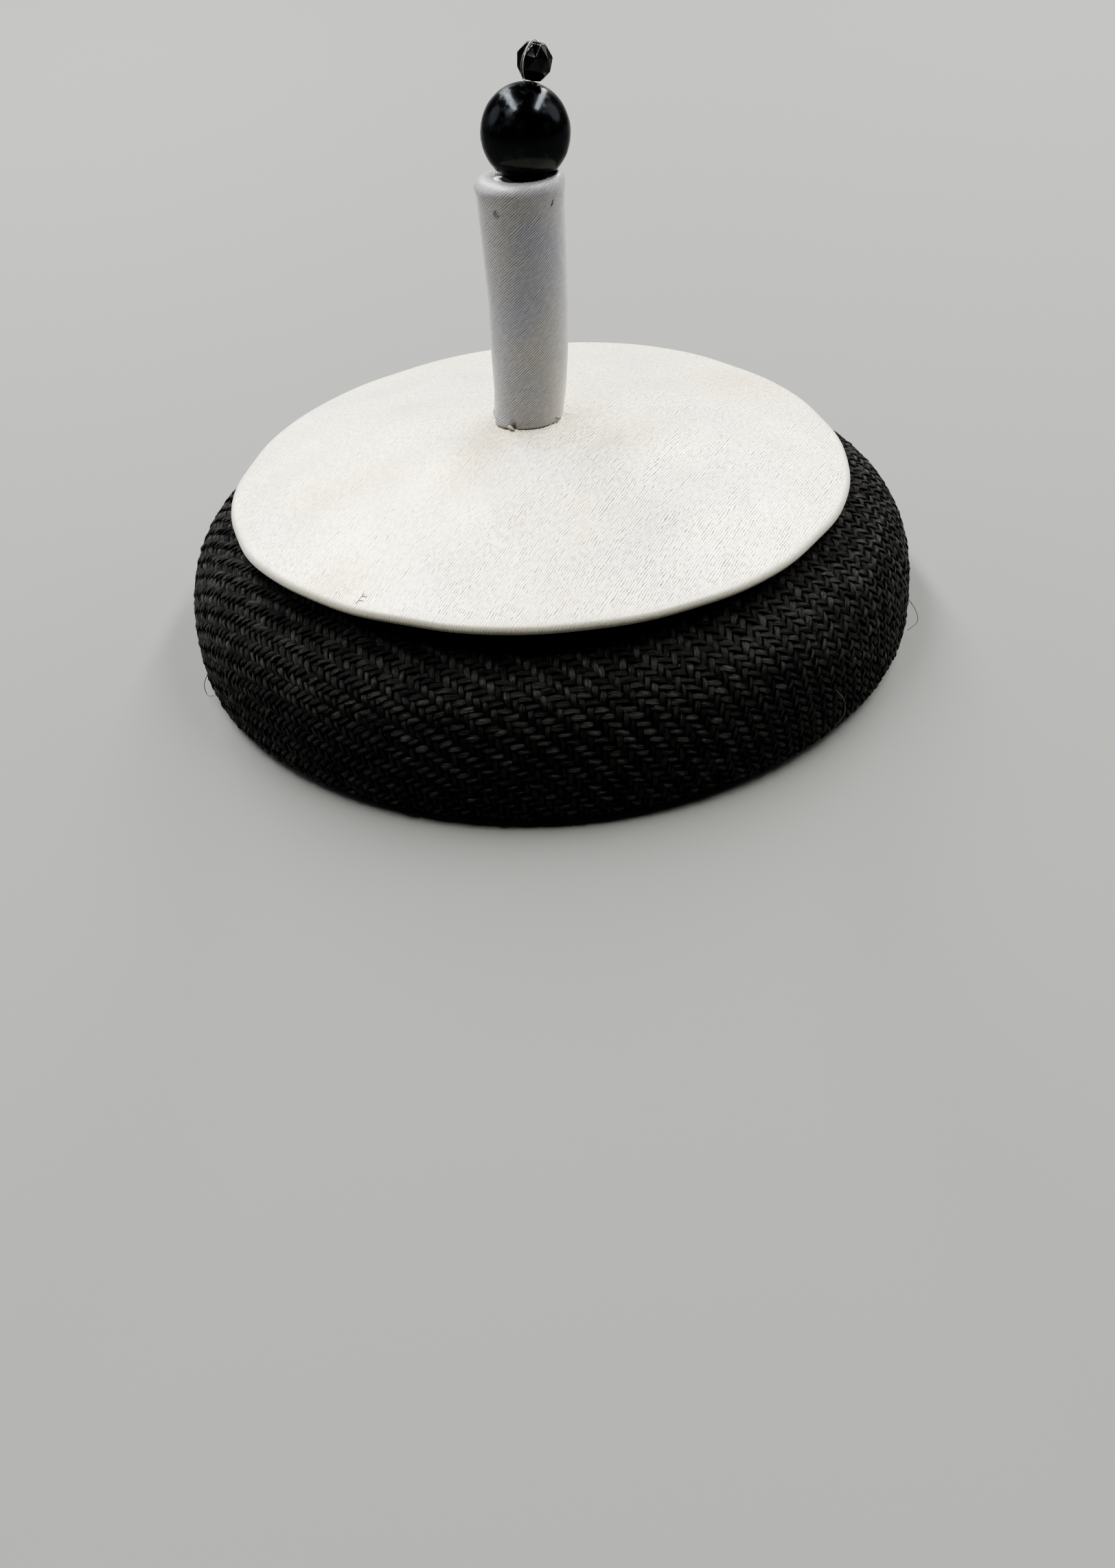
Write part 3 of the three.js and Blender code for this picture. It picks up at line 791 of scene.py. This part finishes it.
# The last number is how pale a filament is; the pale one is a painted highlight along the thread.
FILAMENTS = ((0.06, 0.20, 0.3, 1.0), (0.06, 0.22, 2.5, 0.1), (0.06, 0.21, 4.5, 0.25))
FILAMENT_TWIST = 9.0
FILAMENT_SIDES = 8
FILAMENT_STEPS = 12
TUBE_ACROSS = (0.31, 0.87, 0.38)
# The dark thread, and the pale colour that paints the highlight where the thread catches the light.
THREAD_DARK_AND_HIGHLIGHT = ((0.012, 0.012, 0.013, 1.0), (0.22, 0.218, 0.208, 1.0))


def smooth_route(route, per_span):
    """A curve through a route's points: between two of them a cubic whose slope at each is half the way from
    the point before to the point after."""
    padded = np.concatenate([2 * route[:1] - route[1:2], route, 2 * route[-1:] - route[-2:-1]])
    t = np.linspace(0.0, 1.0, per_span, endpoint=False)[None, :, None]
    p0, p1, p2, p3 = (padded[i:len(padded) - 3 + i, None] for i in range(4))
    curve = p1 + 0.5 * t * (p2 - p0 + t * (2 * p0 - 5 * p1 + 4 * p2 - p3 + t * (3 * (p1 - p2) + p3 - p0)))
    return np.concatenate([curve.reshape(-1, route.shape[1]), route[-1:]])


def tube(path, radius, sides):
    """A round section carried along a path, closed at both ends. The section's first direction is square to
    the path and to a fixed one. Gives points and faces."""
    along = np.gradient(path, axis=0)
    along /= np.linalg.norm(along, axis=1, keepdims=True)
    first = np.cross(along, TUBE_ACROSS)
    first /= np.linalg.norm(first, axis=1, keepdims=True)
    second = np.cross(along, first)
    angle = np.arange(sides) / sides * 2 * np.pi
    ring = first[:, None] * np.cos(angle)[:, None] + second[:, None] * np.sin(angle)[:, None]
    points = path[:, None] + ring * np.broadcast_to(radius, len(path))[:, None, None]
    row, side = np.meshgrid(np.arange(len(path) - 1), np.arange(sides), indexing="ij")
    after = (side + 1) % sides
    here, there = row * sides, (row + 1) * sides
    quads = np.stack([here + side, here + after, there + after, there + side], -1)
    last = (len(path) - 1) * sides
    caps = np.stack([np.arange(sides)[::-1], last + np.arange(sides)])
    return points.reshape(-1, 3), [quads.reshape(-1, 4), caps]


def joined(parts):
    """Several pieces of points and faces as one."""
    points, faces, count = [], [], 0
    for part_points, part_faces in parts:
        points.append(part_points)
        faces.extend(face + count for face in part_faces)
        count += len(part_points)
    return np.concatenate(points), faces


def thread_finish(name, dark, pale):
    """Sewing thread: fine twisted fibres, noise along the piece, on a pale or a dark filament by its tone."""
    material, shader, place = new_finish(name, "Object")
    tone = place.node("ShaderNodeAttribute", {"attribute_name": "tone"}, {}, 2)
    fibres = place.noise(9.0 / MM, 2.0)
    place.fill(shader, {
        "Base Color": (tone + (fibres - 0.5) * 0.4).smooth(0.0, 1.0).mix(dark, pale),
        "Roughness": fibres * 0.3 + 0.35,
        "Normal": fibres.bump(0.4, 0.05),
    })
    return material


route = np.array([(THREAD_SIDE[0] * out, THREAD_SIDE[1] * out, up) for out, up in THREAD_ROUTE], float)
curve = smooth_route(route, FILAMENT_STEPS)
parts = []
tones = []
for radius, spread, start, pale in FILAMENTS:
    turn = start + np.linspace(0.0, FILAMENT_TWIST, len(curve))
    beside = np.stack([np.cos(turn), np.sin(turn), np.zeros_like(turn)], -1) * spread
    parts.append(tube(leaning(curve + beside), radius, FILAMENT_SIDES))
    tones.append(np.full(len(parts[-1][0]), pale))
points, faces = joined(parts)
bead_thread = add_piece("thread_filaments", points, faces, thread_finish("thread", *THREAD_DARK_AND_HIGHLIGHT),
                        tone=np.concatenate(tones))
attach(bead_thread, "root")
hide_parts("bead_thread")

# Folds in the stem's mouth
# The satin's raw edge is turned into the mouth, where it lies in one soft roll at the left and in two small
# gathers at the right front.
FOLDS_SHIFT = 0.6 * MOUTH_SHIFT
FOLDS_CENTRE = np.array([STEM_SHIFT + STEM_SHIFTS[-1] + FOLDS_SHIFT, 0.0,
                         disc_top(0.0) + SEAT_GAP + STEM_LENGTH])
FOLDS = ((140.0, 255.0, 5.2, -1.2, 0.95), (-70.0, -56.0, 5.5, -0.6, 0.38), (-50.0, -36.0, 5.5, -0.5, 0.34))
FOLD_POINTS = 40
FOLD_SIDES = 12
FOLD_END = 0.08
FOLD_COLOURS = ((0.60, 0.57, 0.50, 1.0), (0.86, 0.82, 0.72, 1.0))
parts = []
for start, end, reach, rise, size in FOLDS:
    angle = np.radians(np.linspace(start, end, FOLD_POINTS))
    path = np.stack([reach * np.cos(angle), reach * np.sin(angle), np.full(FOLD_POINTS, rise)], -1)
    swelling = np.sin(np.linspace(FOLD_END, np.pi - FOLD_END, FOLD_POINTS))
    parts.append(tube(path + FOLDS_CENTRE, size * swelling, FOLD_SIDES))
points, faces = joined(parts)
folds = add_piece("satin_mouth_folds", points, faces, thread_finish("satin_fold", *FOLD_COLOURS))
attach(folds, "root")

# Folds at the stem's foot
# The satin is turned under at the foot and sewn down by hand: one ridge along the turned edge at the left,
# and two small tabs where the stitches pull it out.
FOOT_RIDGES = ((-184.0, 1.5, 0.0, -121.0, 0.55, 0.1, 0.3), (-129.0, 0.45, 0.1, -114.0, 0.05, 0.9, 0.42),
               (-43.0, 0.9, 0.0, -30.0, 0.35, 0.35, 0.42))
RIDGE_POINTS = 24
RIDGE_SIDES = 10
RIDGE_END = 0.25
# The folds' satin is painted dark grey: painted shade at the stem's foot.
RIDGE_SHADED_COLOURS = ((0.09, 0.09, 0.09, 1.0), (0.16, 0.158, 0.155, 1.0))


def on_stem(turn, height, out=0.0, shift=0.0):
    """Points on the stem's side at turns in degrees and heights over its foot, moved out and to the right."""
    radius = np.interp(height / STEM_LENGTH, STEM_AT, STEM_DIAMETERS) / 2 + out
    angle = np.radians(turn)
    level = height + disc_top(0.0) + SEAT_GAP
    return np.stack([radius * np.cos(angle) + STEM_SHIFT + shift, radius * np.sin(angle), level], -1)


parts = []
for *ends, size in FOOT_RIDGES:
    turn, height, out = np.linspace(ends[:3], ends[3:], RIDGE_POINTS).T
    swelling = np.sin(np.linspace(RIDGE_END, np.pi - RIDGE_END, RIDGE_POINTS))
    parts.append(tube(on_stem(turn, height, out), size * swelling, RIDGE_SIDES))
points, faces = joined(parts)
foot_folds = add_piece("satin_foot_folds", points, faces,
                       thread_finish("satin_turned_edge", *RIDGE_SHADED_COLOURS))
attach(foot_folds, "root")

# Pulled threads
# Threads of the satin that have been caught and pulled dark: a small snag near the disc's front edge, a fleck
# behind it, and two marks below the stem's lip.
SNAGS = (((-34.8, -52.2), (-33.4, -50.0)), ((-34.4, -51.5), (-33.4, -51.9)),
         ((-33.9, -50.6), (-32.8, -51.0)), ((-39.5, -31.0), (-39.1, -30.2)))
STEM_MARKS = ((-129.0, 40.2, -125.0, 40.9), (-126.0, 39.9, -121.5, 40.1), (-48.0, 40.8, -45.0, 41.8))
SNAG_RADIUS = 0.11
MARK_RADIUS = 1.6 * SNAG_RADIUS
SNAG_POINTS = 6
SNAG_SIDES = 6
SNAG_COLOURS = ((0.02, 0.02, 0.026, 1.0), (0.06, 0.06, 0.07, 1.0))


def on_disc(x, y):
    """Points on the disc's top at these places in plan."""
    right = x - DISC_SHIFT
    return np.stack([x, y, disc_top(np.hypot(right, y)) + bends(right, y) + puffs(right, y)], -1)


parts = []
for ends in SNAGS:
    x, y = np.linspace(ends[0], ends[1], SNAG_POINTS).T
    parts.append(tube(on_disc(x, y), SNAG_RADIUS, SNAG_SIDES))
for ends in STEM_MARKS:
    turn, height = np.linspace(ends[:2], ends[2:], SNAG_POINTS).T
    shift = np.interp(height / STEM_LENGTH, STEM_AT, STEM_SHIFTS)
    parts.append(tube(on_stem(turn, height, shift=shift), MARK_RADIUS, SNAG_SIDES))
points, faces = joined(parts)
snags = add_piece("satin_snags", points, faces, thread_finish("pulled_thread", *SNAG_COLOURS))
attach(snags, "root")

# Stray fibres
# Single fibres of straw that have come loose from the weave at the crown's sides and stand out as hairs.
FIBRES = (
    ((-89.0, -31.5), (-90.5, -33.0), (-91.0, -35.0), (-90.5, -37.0), 1.8),
    ((-82.0, 29.0), (-84.0, 31.0), (-83.0, 34.0), (-80.5, 34.5), 1.9),
    ((88.0, -26.0), (90.0, -27.5), (91.0, -30.0), (91.0, -33.0), 2.2),
    ((58.0, -66.0), (60.5, -67.0), (62.0, -69.5), (62.0, -72.5), 1.2),
)
FIBRE_RADIUS = 0.085
FIBRE_RISE = np.array([-0.3, 0.6, 1.0, 0.35])
FIBRE_STEPS = 10
FIBRE_SIDES = 6
FIBRE_COLOURS = ((0.01, 0.01, 0.009, 1.0), (0.04, 0.04, 0.034, 1.0))
parts = []
for *cloth, lift in FIBRES:
    route = on_crown(*np.array(cloth).T, FIBRE_RISE * lift)
    parts.append(tube(smooth_route(route, FIBRE_STEPS), FIBRE_RADIUS, FIBRE_SIDES))
points, faces = joined(parts)
fibres = add_piece("straw_fibres", points, faces, thread_finish("straw_fibre", *FIBRE_COLOURS))
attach(fibres, "root")

# Floor, light and air
# A plain pale floor with a plain backdrop far round it, two long soft lights overhead that run from front to
# back, and a soft panel at each side.
FLOOR_SIZE = 4000.0
FLOOR_FINISH = {"Base Color": (0.0605, 0.062, 0.059, 1.0), "Roughness": 0.8}
BACKDROP = {"radius": 3600.0, "height": 3000.0, "sides": 72}
BACKDROP_FINISH = {"Base Color": (0.3, 0.302, 0.3, 1.0), "Roughness": 0.9}
AIR = {"Color": (0.80, 0.81, 0.82, 1.0), "Strength": 0.05}
LIGHT_AIM = (0.0, 0.0, 0.05)
STRIPS = {"left": ((-0.46, -0.45, 1.3), (-0.80, 2.8, 1.3), 210.0),
          "right": ((0.66, -0.45, 1.3), (1.08, 2.8, 1.3), 180.0)}
STRIP_WIDTH = 0.2
STRIP_COLOUR = (1.0, 0.985, 0.955)
PANELS = {"left": ((-1.5, 0.55, 0.9), 11.0, (0.95, 0.98, 1.0)),
          "right": ((1.5, 0.35, 0.9), 14.0, (1.0, 0.99, 0.97))}
PANEL_SIZES = (0.3, 0.5, 0.75, 1.0)
corner = np.array([[-1, -1, 0], [1, -1, 0], [1, 1, 0], [-1, 1, 0]], float) * FLOOR_SIZE
material, shader, place = new_finish("floor", "Object")
place.fill(shader, FLOOR_FINISH)
floor = add_piece("floor", corner, [np.array([[0, 1, 2, 3]])], material)
floor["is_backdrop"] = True
sides = BACKDROP["sides"]
slot = np.arange(sides)
after = (slot + 1) % sides
angle = slot / sides * 2 * np.pi
ring = np.stack([np.cos(angle), np.sin(angle), np.zeros(sides)], -1) * BACKDROP["radius"]
rings = np.concatenate([ring, ring + [0.0, 0.0, BACKDROP["height"]]])
wall = np.stack([slot, slot + sides, after + sides, after], -1)
material, shader, place = new_finish("backdrop", "Object")
place.fill(shader, BACKDROP_FINISH)
backdrop = add_piece("backdrop", rings, [wall], material)
backdrop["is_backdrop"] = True


def add_light(name, shape, start, end, width, power, colour):
    """A soft light in metres whose middle line runs from start to end, turned to face the hat."""
    start, end = np.array(start), np.array(end)
    middle = (start + end) / 2
    data = bpy.data.lights.new(name, "AREA")
    data.shape = shape
    data.size = width
    data.size_y = float(np.linalg.norm(end - start))
    data.energy = power
    data.color = colour
    light = bpy.data.objects.new(name, data)
    bpy.context.scene.collection.objects.link(light)
    along = (end - start) / np.linalg.norm(end - start)
    side = np.cross(along, middle - LIGHT_AIM)
    side = side / np.linalg.norm(side)
    turn = Matrix([side, along, np.cross(side, along)]).transposed().to_4x4()
    light.matrix_world = Matrix.Translation(middle) @ turn


for name, (start, end, power) in STRIPS.items():
    add_light("strip_" + name, "RECTANGLE", start, end, STRIP_WIDTH, power, STRIP_COLOUR)
for size in PANEL_SIZES:
    half = np.array([0.0, size / 2, 0.0])
    for name, (middle, power, colour) in PANELS.items():
        add_light(f"panel_{name}_{size}", "ELLIPSE", middle - half, middle + half, size,
                  power * size ** 2, colour)
world = bpy.data.worlds.new("studio")
world.use_nodes = True
for name, value in AIR.items():
    world.node_tree.nodes["Background"].inputs[name].default_value = value
bpy.context.scene.world = world

low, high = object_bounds()
